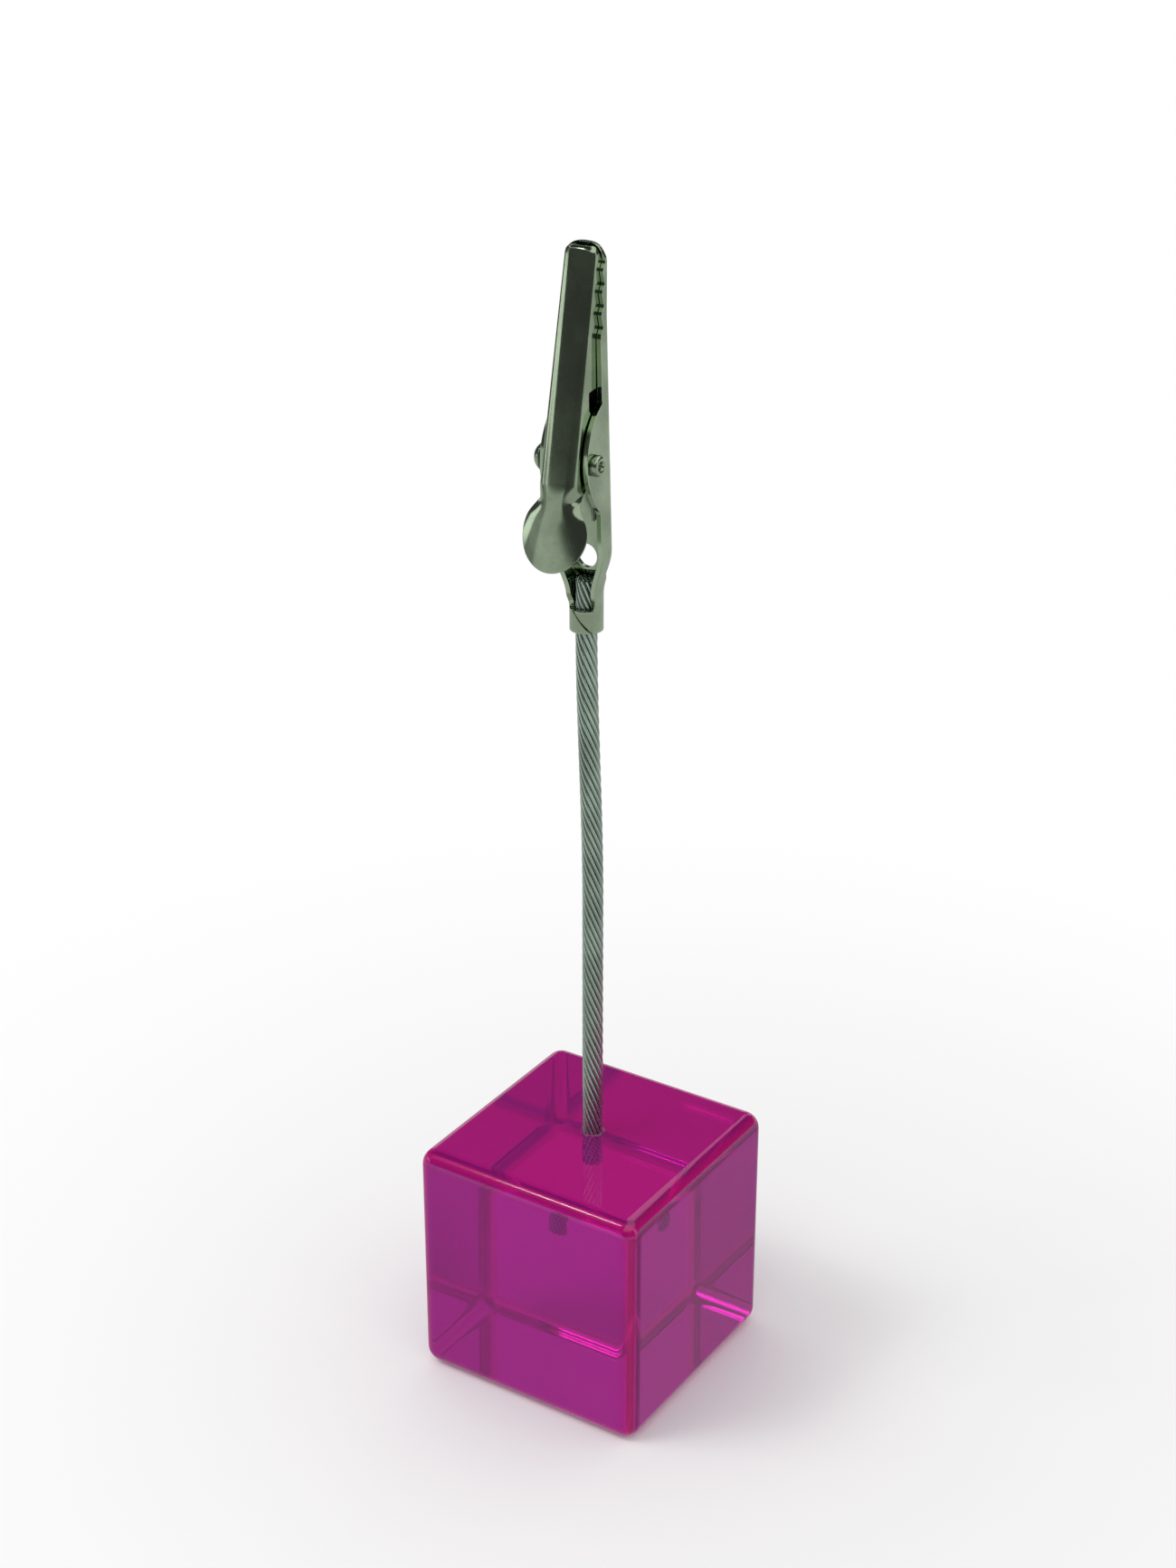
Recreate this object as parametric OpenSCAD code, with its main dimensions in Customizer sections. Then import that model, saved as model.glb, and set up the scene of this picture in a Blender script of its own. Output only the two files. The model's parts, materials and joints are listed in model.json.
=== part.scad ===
// Memo clip: an acrylic cube, a stem of stranded wire and an alligator clip.
// Millimetres. The origin is the middle of the cube's underside, +Z is up, and the thumb paddle faces -Y.

/* [Cube] */
// Edge length of the cube
cube_edge = 25; // [18:0.5:40]
// Radius of the cube's rounded edges
cube_round = 1.7; // [0.6:0.1:2.5]
// Depth of the blind bore for the stem
bore_depth = 8.7; // [5:0.1:14]
// Thickness of the glue round the stem
glue_film = 0.18; // [0.1:0.01:0.4]

/* [Stem] */
// Diameter of the eighteen laid wires
wire_d = 0.38; // [0.3:0.01:0.5]
// Diameter of the straight core wire
core_d = 0.4; // [0.32:0.01:0.55]
// Length in which a laid wire makes one turn
lay_length = 14; // [10:0.5:20]
// Free length between the cube and the clip
stem_free = 53.1; // [40:0.1:90]
// Sideways bow of the stem at the clip
stem_bow = 0.7; // [0:0.1:2]
// Height above the cube where the bow begins
bow_from = 26; // [5:1:30]
// Length of strand that shows above the crimp
strand_show = 2.7; // [1.5:0.1:3.2]

/* [Clip] */
// Length from the foot of the crimp barrel to the tip
clip_length = 35.3; // [32:0.1:44]
// Thickness of the sheet metal
sheet = 0.5; // [0.4:0.02:0.6]
// Width across the fixed jaw's ears at the pivot
ear_width = 5; // [4:0.1:6]
// Width of the fixed jaw at its tip
fixed_tip_width = 3.9; // [3.2:0.1:4.6]
// Width of the moving jaw at its tip
moving_tip_width = 3.2; // [2.6:0.1:3.8]
// Outer radius of the fixed jaw's folds
fixed_fold = 0.8; // [0.7:0.05:1]
// Outer radius of the moving jaw's folds
moving_fold = 1; // [0.8:0.05:1.1]
// Height of the pivot above the barrel's foot
pivot_height = 16.5; // [15.5:0.1:20]
// Distance of the pivot in front of the stem's axis
pivot_reach = 2.5; // [2.1:0.1:3]
// Distance of the fixed jaw's back behind the stem's axis
back_reach = 0.5; // [0.4:0.05:0.8]
// Depth of the moving jaw in front of the pivot
jaw_reach = 2.4; // [2.2:0.1:2.9]
// Radius of the round edge of the ears
ear_round = 5; // [4.2:0.1:6]
// Metal left in front of the pivot by that edge
ear_rim = 1.5; // [1.3:0.1:1.8]
// Height of the closed crimp barrel
crimp_height = 2.15; // [1.8:0.05:2.6]
// Diameter of the hole in the tail
tail_hole_d = 2.2; // [1.8:0.1:2.6]
// Height above the pivot of the window between the jaws
window_rise = 4.7; // [4.5:0.1:5.5]
// Length of the window
window_length = 1.7; // [1.2:0.1:2]
// Length of the moving jaw's walls below the pivot
wall_drop = 3.6; // [3:0.1:4]

/* [Teeth] */
// Teeth on each edge of a jaw
tooth_count = 4; // [3:1:5]
// Spacing of the teeth
tooth_pitch = 1.85; // [1.5:0.05:2.2]
// Height of a tooth
tooth_depth = 0.45; // [0.3:0.05:0.55]
// Length of a tooth's steep side
tooth_run = 0.75; // [0.5:0.05:0.9]
// Smooth length between the teeth and the tip
tip_smooth = 1.5; // [1.2:0.1:2]

/* [Paddle] */
// Width of the thumb paddle
paddle_width = 6.7; // [5.4:0.1:8]
// Length of the paddle below the jaw's back
paddle_length = 6.75; // [5.8:0.1:7.4]
// Radius of its curve across the thumb
paddle_curve = 7; // [5:0.1:9]
// Outward lean of the paddle, degrees
paddle_lean = 10; // [8:0.5:15]
// Depth below the pivot where the paddle leaves the jaw's back
paddle_drop = 2.5; // [2.2:0.1:3]
// Set-in of the paddle behind the jaw's back
paddle_set = 0.15; // [0.1:0.01:0.2]
// Half width of the paddle's shoulders
paddle_shoulder = 2.6; // [2.2:0.1:2.7]

/* [Rivet and spring] */
// Diameter of the rivet's shank
rivet_d = 1.5; // [1.2:0.05:1.8]
// Diameter of its domed head
rivet_head_d = 2.8; // [2.3:0.1:3.4]
// Height of the head
rivet_head_h = 1.05; // [0.6:0.05:1.3]
// Diameter of its clenched tail
rivet_tail_d = 1.9; // [1.85:0.05:2.4]
// Height of the tail
rivet_tail_h = 0.65; // [0.4:0.05:0.9]
// Diameter of the hole up the tail
rivet_hole_d = 0.7; // [0.5:0.05:0.9]
// Diameter of the spring's wire
spring_wire = 0.32; // [0.26:0.02:0.4]
// Gap between neighbouring turns of the spring
spring_gap = 0.42; // [0.42:0.01:0.6]
// Length of the spring's legs below the pivot
spring_leg = 6; // [5:0.1:7]

/* [Clearances] */
// Air between neighbouring wires
wire_gap = 0.015; // [0.005:0.005:0.03]
// Gap between the crimp barrel and the strand
crimp_gap = 0.05; // [0.02:0.01:0.1]
// Gap above the strand's end
end_gap = 0.2; // [0.1:0.05:0.3]
// Gap between the two rows of teeth
jaw_gap = 0.08; // [0.06:0.01:0.2]
// Gap between each ear and the moving jaw
side_gap = 0.1; // [0.06:0.01:0.15]
// Radial gap between the rivet and the moving jaw
pin_gap = 0.05; // [0.02:0.01:0.1]
// Gap between the spring and the rivet, and behind the paddle
spring_clear = 0.25; // [0.1:0.01:0.3]
// Gap between the spring's leg and the tail's floor
leg_gap = 0.05; // [0.02:0.01:0.1]

/* [Hidden] */
$fn = 64;
inner_names = [for (i = [1:6]) str("inner_wire_", i)];
outer_names = [for (i = [1:12]) str("outer_wire_", i < 10 ? "0" : "", i)];

acrylic = "mediumvioletred";
glue = "thistle";
strand_steel = "darkgray";
plate = "silver";
// Reach of cutting shapes past what they cut, far and near
cut = 20;
over = 1;

// The strand: a core, six wires round it and twelve round those
wire_sides = 6;
rings_per_turn = 12;
function lay_stretch(r) = sqrt(1 + pow(2 * PI * r / lay_length, 2));
function round_fit(count, r) = (wire_d + wire_gap) * lay_stretch(r) / (2 * sin(180 / count));
inner_lay_r = max((core_d + wire_d) / 2 + wire_gap, round_fit(len(inner_names), wire_d));
outer_lay_r = max(inner_lay_r + wire_d + wire_gap, round_fit(len(outer_names), inner_lay_r + wire_d));
strand_r = outer_lay_r + wire_d / 2;
glue_bore_r = strand_r + wire_gap;
bore_r = glue_bore_r + glue_film;
bore_floor = cube_edge - bore_depth;
stem_bottom = bore_floor + 2 * glue_film;
clip_z = cube_edge + stem_free;
stem_top = clip_z + crimp_height + strand_show;
stem_steps = ceil((stem_top - stem_bottom) / lay_length * rings_per_turn);

// The clip's own frame has its origin on the stem's axis at the barrel's foot
clip_at = [-stem_bow, 0, clip_z];
pivot_y = -pivot_reach;
barrel_bore_r = strand_r + crimp_gap;
barrel_r = barrel_bore_r + sheet;
floor_y = back_reach - sheet;
fixed_half = ear_width / 2;
tip_rise = clip_length - pivot_height;
fixed_taper = atan((fixed_half - fixed_tip_width / 2) / tip_rise);

// The seam where the jaws meet, from the tip down to the window above the ears
seam_y = -1.1;
seam_tip_y = -0.35;
tooth_top_y = -0.1;
tooth_start = clip_length - tip_smooth;
tooth_step = (tooth_top_y - tooth_depth - seam_y) / (tooth_count - 1);
window_low = pivot_height + window_rise;
window_top = window_low + window_length;
window_y = -2.3;
function seam(shift) = concat(
    [[seam_tip_y - shift, clip_length + over], [seam_tip_y - shift, (tooth_start + clip_length) / 2]],
    [for (i = [0:tooth_count - 1], low = [0, 1])
        [tooth_top_y - i * tooth_step - low * tooth_depth - shift,
         tooth_start - i * tooth_pitch - low * tooth_run]],
    [[seam_y - shift, window_top]]);

// The tail: walls with a low front edge, drawn in to the barrel, and a shoulder over the strand's end
lip_y = -1.75;
lip_low = 8.6;
tail_wide = 7.8;
tail_narrow = 4;
tail_half = fixed_half + (pivot_height - tail_wide) * tan(fixed_taper);
funnel_set = 0.05;
funnel_thin = 0.08;
strand_room = crimp_height + strand_show + end_gap;
tail_hole_z = max(7, strand_room + sheet + tail_hole_d / 2);
crimp_front_y = -0.85;
crimp_seam = 0.12;
crimp_seam_x = 0.33;
crimp_seam_slant = 40;

// The moving jaw passes between the ears with the side gap at the height where they are closest
ear_y = ear_round - pivot_reach - ear_rim;
ear_high = sqrt(pow(ear_round, 2) - pow(ear_y - window_y, 2));
ear_room = fixed_half - sheet - ear_high * tan(fixed_taper) - side_gap;
rise_share = ear_high / tip_rise;
moving_half = (ear_room - rise_share * moving_tip_width / 2) / (1 - rise_share);
moving_taper = atan((moving_half - moving_tip_width / 2) / tip_rise);

// It leans so that its back passes in front of the pivot and meets the tip
tip_depth = 0.75;
moving_drop = 0.25;
tip_dy = seam_tip_y - tip_depth - pivot_y;
jaw_tilt = atan(tip_dy / tip_rise) + asin(jaw_reach / norm([tip_dy, tip_rise]));
lobe = 1.3;
lobe_rise = 3.4;
wall_end = pivot_height - wall_drop;
paddle_join = pivot_height - paddle_drop;
jaw_back_y = pivot_y - jaw_reach / cos(jaw_tilt) - paddle_drop * tan(jaw_tilt);
paddle_join_y = jaw_back_y + paddle_set;
paddle_neck = 0.6;
moving_tip_round = 0.7;
fixed_tip_round = 1.5;

// The spring: turns round the rivet, one leg on the tail's floor and one behind the paddle
spring_r = rivet_d / 2 + spring_clear + spring_wire / 2;
spring_pitch = spring_wire + spring_gap;
spring_room = 2 * (moving_half - sheet - side_gap) - spring_wire;
leg_z = pivot_height - spring_leg;
floor_leg = [floor_y - spring_wire / 2 - leg_gap, leg_z];
paddle_face = paddle_join_y - (paddle_join - leg_z) * tan(paddle_lean) + sheet / cos(paddle_lean);
paddle_leg = [paddle_face + spring_wire / 2 + spring_clear, leg_z];
function leg_offset(leg) = [leg[0] - pivot_y, leg[1] - pivot_height];
function leg_angle(leg) = atan2(leg_offset(leg)[1], leg_offset(leg)[0]);
function leg_touch(leg) = acos(spring_r / norm(leg_offset(leg)));
coil_from = leg_angle(floor_leg) + leg_touch(floor_leg);
coil_part = 360 + leg_angle(paddle_leg) - leg_touch(paddle_leg) - coil_from;
coil_turns = max(0, floor(spring_room / spring_pitch - coil_part / 360));
coil_sweep = coil_part + 360 * coil_turns;
coil_width = spring_pitch * coil_sweep / 360;
rings_per_curl = 8;
coil_steps = ceil(coil_sweep / 360 * rings_per_curl);
function coil_point(i) = let (a = coil_sweep * i / coil_steps)
    [coil_width * (0.5 - i / coil_steps),
     pivot_y + spring_r * cos(coil_from + a),
     pivot_height + spring_r * sin(coil_from + a)];
spring_path = concat(
    [concat([coil_width / 2], floor_leg)],
    [for (i = [0:coil_steps]) coil_point(i)],
    [concat([-coil_width / 2], paddle_leg)]);

// Points along the spring, and its least gap to itself between points more than five rings apart
points_per_ring = 4;
near_points = 5 * points_per_ring;
spring_points = [for (i = [0:points_per_ring * (len(spring_path) - 1)])
    let (k = min(floor(i / points_per_ring), len(spring_path) - 2))
    spring_path[k] + (i / points_per_ring - k) * (spring_path[k + 1] - spring_path[k])];
self_gap = min([for (i = [0:len(spring_points) - 1], j = [0:1:i - near_points - 1])
    norm(spring_points[i] - spring_points[j])]) - spring_wire;
echo(str("least gap of the torsion spring to itself, mm: ", self_gap));

function unit(v) = v / norm(v);
function ease(t) = let (u = max(0, min(1, t))) u * u * (3 - 2 * u);
function stem_point(z) = [-stem_bow * ease((z - cube_edge - bow_from) / (stem_free - bow_from)), 0, z];

// Ring of points round p, square to the direction along, starting towards out
function ring(p, r, along, out) = let (across = cross(along, out))
    [for (k = [0:wire_sides - 1]) let (a = 360 * k / wire_sides) p + r * (cos(a) * out + sin(a) * across)];

// Closed tube through rings of equal count, with triangles for faces
module tube(rings) {
    n = len(rings) - 1;
    k = len(rings[0]);
    sides = [for (i = [0:n - 1], j = [0:k - 1])
        let (a = i * k + j, b = i * k + (j + 1) % k) each [[a, b + k, b], [a, a + k, b + k]]];
    ends = [for (j = [1:k - 2]) each [[0, j, j + 1], [n * k, n * k + j + 1, n * k + j]]];
    polyhedron([for (r = rings) each r], concat(sides, ends));
}

// One wire of the strand, at radius lay_r and angle phase, laid to the left or right
module laid_wire(d, lay_r, phase, hand) {
    lean = hand * 2 * PI * lay_r / lay_length;
    tube([for (i = [0:stem_steps])
        let (z = stem_bottom + (stem_top - stem_bottom) * i / stem_steps,
             phi = phase + hand * 360 * (z - stem_bottom) / lay_length,
             out = [cos(phi), sin(phi), 0],
             along = unit([-lean * sin(phi), lean * cos(phi), 1]))
        ring(stem_point(z) + lay_r * out, d / 2, along, out)]);
}

// Outline in Y and Z, pulled along X
module side_cut() {
    rotate([90, 0, 90]) linear_extrude(cut, center = true) children();
}

// Outline in X and Z, pulled along Y
module front_cut() {
    rotate([90, 0, 0]) linear_extrude(cut, center = true) children();
}

// Long block, narrowing upwards, whose back edges at +Y are rounded
module jaw_block(half, taper, back, fold) {
    lap = fold / 2;
    high = tip_rise + over;
    function middle(z) = half - fold - lap / 2 - z * tan(taper);
    translate([0, back, 0]) rotate([90, 0, 0]) linear_extrude(cut)
        polygon([[-middle(-cut), -cut], [middle(-cut), -cut], [middle(high), high], [-middle(high), high]]);
    for (side = [0, 1])
        mirror([side, 0, 0]) rotate([0, -taper, 0]) translate([half - fold, back, -cut - over])
            linear_extrude(cut + high + 2 * over) {
                translate([-lap, -cut]) square([lap + fold, cut - fold]);
                translate([-lap, -cut]) square([lap, cut]);
                translate([0, -fold]) circle(fold);
            }
}

// Jaw's front outline below a tip with rounded corners
module tip_outline(half, top, corner) {
    translate([-cut / 2, 0]) square([cut, top - corner]);
    translate([corner - half, 0]) square([2 * (half - corner), top]);
    for (side = [-1, 1])
        translate([side * (half - corner), top - corner]) circle(corner);
}

// Tail's outline from the barrel up, set in by the given margin
module tail_outline(margin) {
    narrow = barrel_r - funnel_set - margin;
    wide = tail_half - margin;
    polygon([
        [-narrow, crimp_height], [narrow, crimp_height], [narrow, tail_narrow], [wide, tail_wide],
        [cut / 2, tail_wide], [cut / 2, clip_length + over], [-cut / 2, clip_length + over],
        [-cut / 2, tail_wide], [-wide, tail_wide], [-narrow, tail_narrow]]);
}

module fixed_side() {
    polygon(concat(
        [[back_reach + over, crimp_height], [back_reach + over, clip_length + over]], seam(0),
        [[seam_y, pivot_height], [lip_y, pivot_height], [lip_y, lip_low], [crimp_front_y, crimp_height]]));
    intersection() {
        translate([ear_y, pivot_height]) circle(ear_round);
        translate([-cut, 0]) square([cut + back_reach, clip_length]);
    }
}

module moving_side() {
    polygon(concat(
        seam(jaw_gap),
        [[window_y, window_top], [window_y, window_low], [pivot_y + lobe, pivot_height + lobe_rise],
         [pivot_y + lobe, pivot_height - lobe / 2], [pivot_y - lobe, wall_end],
         [-cut / 2, wall_end], [-cut / 2, clip_length + over]]));
}

module pivot_hole(r) {
    translate([0, pivot_y, pivot_height]) rotate([0, 90, 0]) cylinder(r = r, h = cut, center = true);
}

// Block of the fixed jaw, or of its hollow when inset is the sheet's thickness
module fixed_block(inset) {
    translate([0, 0, pivot_height])
        jaw_block(fixed_half - inset, fixed_taper, back_reach - inset, fixed_fold - inset);
}

// Block of the moving jaw, or of its hollow
module moving_block(inset) {
    translate([0, pivot_y, pivot_height]) rotate([-jaw_tilt, 0, 0]) mirror([0, 1, 0])
        jaw_block(moving_half - inset, moving_taper, jaw_reach - inset, moving_fold - inset);
}

module fixed_jaw() {
    color(plate) translate(clip_at) difference() {
        union() {
            intersection() {
                fixed_block(0);
                side_cut() fixed_side();
                front_cut() tip_outline(fixed_tip_width / 2, clip_length, fixed_tip_round);
                front_cut() tail_outline(0);
            }
            cylinder(r = barrel_r, h = strand_room + sheet);
        }
        intersection() {
            fixed_block(sheet);
            front_cut() tail_outline(sheet - funnel_thin);
            front_cut() translate([-cut / 2, 0]) square([cut, clip_length - sheet]);
        }
        translate([0, 0, -over]) cylinder(r = barrel_bore_r, h = strand_room + over);
        translate([0, 0, tail_hole_z]) rotate([90, 0, 0]) cylinder(d = tail_hole_d, h = cut, center = true);
        pivot_hole(rivet_d / 2);
        intersection() {
            translate([crimp_seam_x, -barrel_r, crimp_height / 2]) rotate([0, -crimp_seam_slant, 0])
                cube([crimp_seam, barrel_r, 2 * crimp_height], center = true);
            translate([0, 0, -over]) cylinder(r = 2 * barrel_r, h = crimp_height + over);
        }
    }
}

module paddle() {
    low = paddle_length - paddle_width / 2;
    neck = moving_half - sheet;
    translate([0, paddle_join_y, paddle_join]) rotate([-paddle_lean, 0, 0]) intersection() {
        translate([0, paddle_curve, -cut / 2]) difference() {
            cylinder(r = paddle_curve, h = cut);
            translate([0, 0, -over]) cylinder(r = paddle_curve - sheet, h = cut + 2 * over);
        }
        translate([0, -paddle_curve, 0]) front_cut() {
            translate([0, -low]) circle(d = paddle_width);
            polygon([
                [-neck, paddle_neck], [neck, paddle_neck], [neck, -paddle_neck],
                [paddle_shoulder, -low / 2], [-paddle_shoulder, -low / 2], [-neck, -paddle_neck]]);
        }
        translate([-cut / 2, -over, -cut / 2]) cube([cut, over + paddle_curve / 2, cut]);
    }
}

module moving_jaw() {
    tip = clip_length - moving_drop;
    color(plate) translate(clip_at) difference() {
        union() {
            difference() {
                intersection() {
                    moving_block(0);
                    side_cut() moving_side();
                    front_cut() tip_outline(moving_tip_width / 2, tip, moving_tip_round);
                }
                intersection() {
                    moving_block(sheet);
                    front_cut() translate([-cut / 2, 0]) square([cut, tip - sheet]);
                }
            }
            paddle();
        }
        pivot_hole(rivet_d / 2 + pin_gap);
    }
}

module pivot_rivet() {
    dome_r = (pow(rivet_head_d / 2, 2) + pow(rivet_head_h, 2)) / (2 * rivet_head_h);
    head_seat = -fixed_half - rivet_head_d / 2 * tan(fixed_taper);
    tail_seat = fixed_half + rivet_tail_d / 2 * tan(fixed_taper);
    color(plate) translate(clip_at + [0, pivot_y, pivot_height]) rotate([0, 90, 0]) difference() {
        union() {
            translate([0, 0, head_seat - rivet_head_h / 2])
                cylinder(d = rivet_d, h = tail_seat - head_seat + (rivet_head_h + rivet_tail_h) / 2);
            translate([0, 0, tail_seat]) cylinder(d = rivet_tail_d, h = rivet_tail_h);
            intersection() {
                translate([0, 0, head_seat - rivet_head_h + dome_r]) sphere(dome_r);
                translate([0, 0, head_seat - rivet_head_h]) cylinder(d = 2 * rivet_head_d, h = rivet_head_h);
            }
        }
        translate([0, 0, tail_seat]) cylinder(d = rivet_hole_d, h = rivet_tail_h + over);
    }
}

module torsion_spring() {
    last = len(spring_path) - 1;
    color(strand_steel) translate(clip_at) tube([for (i = [0:last])
        let (along = unit(spring_path[min(i + 1, last)] - spring_path[max(i - 1, 0)]),
             side = unit([1, 0, 0] - along[0] * along))
        ring(spring_path[i], spring_wire / 2, along, side)]);
}

module base_cube() {
    color(acrylic) difference() {
        translate([0, 0, cube_edge / 2]) intersection() {
            rounded_prism();
            rotate([90, 0, 0]) rounded_prism();
            rotate([0, 90, 0]) rounded_prism();
        }
        translate([0, 0, bore_floor]) cylinder(r = bore_r, h = bore_depth + over);
    }
}

// Square prism of the cube's size with its four long edges rounded
module rounded_prism() {
    flat = cube_edge - 2 * cube_round;
    linear_extrude(cube_edge, center = true) {
        square([flat, cube_edge], center = true);
        square([cube_edge, flat], center = true);
        for (x = [-1, 1], y = [-1, 1])
            translate([x, y] * flat / 2) circle(cube_round);
    }
}

module glue_sleeve() {
    color(glue) translate([0, 0, bore_floor]) difference() {
        cylinder(r = bore_r, h = bore_depth);
        translate([0, 0, glue_film]) cylinder(r = glue_bore_r, h = bore_depth);
    }
}

module core_wire() {
    color(strand_steel) laid_wire(core_d, 0, 0, 1);
}

module inner_wire(i) {
    color(strand_steel) laid_wire(wire_d, inner_lay_r, 360 * i / len(inner_names), 1);
}

module outer_wire(i) {
    color(strand_steel) laid_wire(wire_d, outer_lay_r, 360 * i / len(outer_names), -1);
}

base_cube();
glue_sleeve();
core_wire();
for (i = [0:len(inner_names) - 1])
    inner_wire(i);
for (i = [0:len(outer_names) - 1])
    outer_wire(i);
fixed_jaw();
moving_jaw();
pivot_rivet();
torsion_spring();
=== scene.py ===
import json
from math import acos, asin, atan2, cos, pi, radians, sin, sqrt, tan

import bmesh
import bpy
from bpy.props import FloatProperty, FloatVectorProperty, PointerProperty
from mathutils import Matrix, Vector


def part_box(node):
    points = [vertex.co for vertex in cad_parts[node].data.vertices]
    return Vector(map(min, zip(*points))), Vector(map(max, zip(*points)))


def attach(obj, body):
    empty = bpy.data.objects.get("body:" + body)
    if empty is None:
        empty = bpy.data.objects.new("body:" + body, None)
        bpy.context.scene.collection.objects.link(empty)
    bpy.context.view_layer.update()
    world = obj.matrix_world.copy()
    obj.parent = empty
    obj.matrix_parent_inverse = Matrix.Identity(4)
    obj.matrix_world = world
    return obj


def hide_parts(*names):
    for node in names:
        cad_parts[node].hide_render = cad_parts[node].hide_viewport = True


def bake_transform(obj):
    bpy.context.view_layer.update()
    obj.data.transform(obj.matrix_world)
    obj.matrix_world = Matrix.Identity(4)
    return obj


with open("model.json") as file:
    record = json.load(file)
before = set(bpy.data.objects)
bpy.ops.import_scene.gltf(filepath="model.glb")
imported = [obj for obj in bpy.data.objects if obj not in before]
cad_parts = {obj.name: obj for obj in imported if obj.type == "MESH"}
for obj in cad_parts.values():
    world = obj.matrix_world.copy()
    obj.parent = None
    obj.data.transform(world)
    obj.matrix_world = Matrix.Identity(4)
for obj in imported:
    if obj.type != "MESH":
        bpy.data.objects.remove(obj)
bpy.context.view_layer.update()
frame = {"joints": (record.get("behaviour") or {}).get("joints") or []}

bl_info = {
    "name": "Memo clip",
    "version": (1, 0, 0),
    "blender": (4, 5, 0),
    "location": "3D View > Sidebar > Memo clip",
    "description": "Builds a memo clip: an acrylic cube, a stranded stem and an alligator clip",
    "category": "Object",
}

MM = 0.001
CUBE_LOW, CUBE_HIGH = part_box("base_cube")
STRAND_LOW, STRAND_HIGH = (corner.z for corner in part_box("core_wire"))
JOINT_AT = {joint["name"]: Vector(joint["pos_m"]) for joint in frame["joints"]}
PIVOT = JOINT_AT["jaw_open"]
STEM_ROOT = JOINT_AT["stem_bend"]

# The clip is drawn in millimetres from the foot of its crimp barrel, on the strand's axis
CLIP_FOOT = Vector((PIVOT.x, 0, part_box("fixed_jaw")[0].z))
PIVOT_Y, PIVOT_Z = ((PIVOT - CLIP_FOOT) / MM).yz
CLIP_TOP = (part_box("fixed_jaw")[1].z - CLIP_FOOT.z) / MM


def ease(t):
    """Smooth step from 0 to 1."""
    t = min(max(t, 0), 1)
    return t * t * (3 - 2 * t)


def mix(a, b, share):
    """Value or vector at a share of the way from a to b."""
    return a + (b - a) * share


def along_profile(points, z):
    """Depth at height z on a line through (height, depth) points."""
    for (z0, y0), (z1, y1) in zip(points, points[1:]):
        if z <= z1:
            return mix(y0, y1, (max(z, z0) - z0) / (z1 - z0))
    return points[-1][1]


class CubeSettings(bpy.types.PropertyGroup):
    """Acrylic cube and the glue at the stem's foot."""

    edge_round: FloatProperty(
        name="Edge radius", description="Radius of the cube's polished edges",
        default=1.7 * MM, min=0.2 * MM, max=4 * MM, subtype="DISTANCE", unit="LENGTH")
    tint: FloatVectorProperty(
        name="Tint", description="Colour that the acrylic's surface and haze give",
        default=(0.45, 0.015, 0.36), min=0, max=1, subtype="COLOR")
    # Painted edge glow: colour painted into the rounded edges for the light that gathers there
    edge_glow_tint: FloatVectorProperty(
        name="Painted edge glow", description="Colour that gathers in the rounded edges",
        default=(0.72, 0.0, 0.22), min=0, max=1, subtype="COLOR")
    depth_tint: FloatVectorProperty(
        name="Depth tint", description="Colour that light keeps longest inside the acrylic",
        default=(0.99, 0.0, 0.93), min=0, max=1, subtype="COLOR")
    depth_density: FloatProperty(
        name="Depth density", description="How fast the acrylic absorbs other colours, per metre",
        default=150, min=0, max=2000)
    clarity: FloatProperty(
        name="Clarity", description="Share of light that passes through rather than scattering",
        default=0.74, min=0, max=1, subtype="FACTOR")


class StemSettings(bpy.types.PropertyGroup):
    """Stranded wire stem."""

    wire: FloatProperty(
        name="Wire", description="Diameter of the eighteen laid wires",
        default=0.38 * MM, min=0.2 * MM, max=0.38 * MM, subtype="DISTANCE", unit="LENGTH")
    core: FloatProperty(
        name="Core wire", description="Diameter of the straight core wire",
        default=0.4 * MM, min=0.2 * MM, max=0.4 * MM, subtype="DISTANCE", unit="LENGTH")
    lay: FloatProperty(
        name="Lay", description="Length in which a laid wire makes one turn",
        default=14 * MM, min=8 * MM, max=30 * MM, subtype="DISTANCE", unit="LENGTH")
    steel: FloatVectorProperty(
        name="Steel", description="Colour of the drawn wire",
        default=(0.50, 0.62, 0.53), min=0, max=1, subtype="COLOR")


class ClipSettings(bpy.types.PropertyGroup):
    """Alligator clip's pressings, rivet and spring."""

    sheet: FloatProperty(
        name="Sheet", description="Thickness of the sheet metal",
        default=0.5 * MM, min=0.3 * MM, max=0.5 * MM, subtype="DISTANCE", unit="LENGTH")
    edge_soften: FloatProperty(
        name="Edge softness", description="Width of the rounding on the sheet's cut edges",
        default=0.05 * MM, min=0.01 * MM, max=0.1 * MM, subtype="DISTANCE", unit="LENGTH")
    plate: FloatVectorProperty(
        name="Plate", description="Colour of the nickel plating",
        default=(0.37, 0.465, 0.325), min=0, max=1, subtype="COLOR")
    spring: FloatVectorProperty(
        name="Spring", description="Colour of the spring wire",
        default=(0.42, 0.46, 0.42), min=0, max=1, subtype="COLOR")


class StageSettings(bpy.types.PropertyGroup):
    """Floor and light."""

    floor: FloatVectorProperty(
        name="Floor", description="Colour of the floor round the object",
        default=(0.92, 0.92, 0.92), min=0, max=1, subtype="COLOR")
    glow: FloatVectorProperty(
        name="Glow", description="Colour of the floor under the cube, lit through the acrylic",
        default=(1.0, 0.05, 0.45), min=0, max=1, subtype="COLOR")
    sky: FloatProperty(
        name="Sky", description="Strength of the even light from all round",
        default=0.82, min=0, max=1, subtype="FACTOR")
    key: FloatProperty(
        name="Key lamp", description="Power of the main lamp",
        default=0.95, min=0, max=20, subtype="POWER", unit="POWER")


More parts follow.
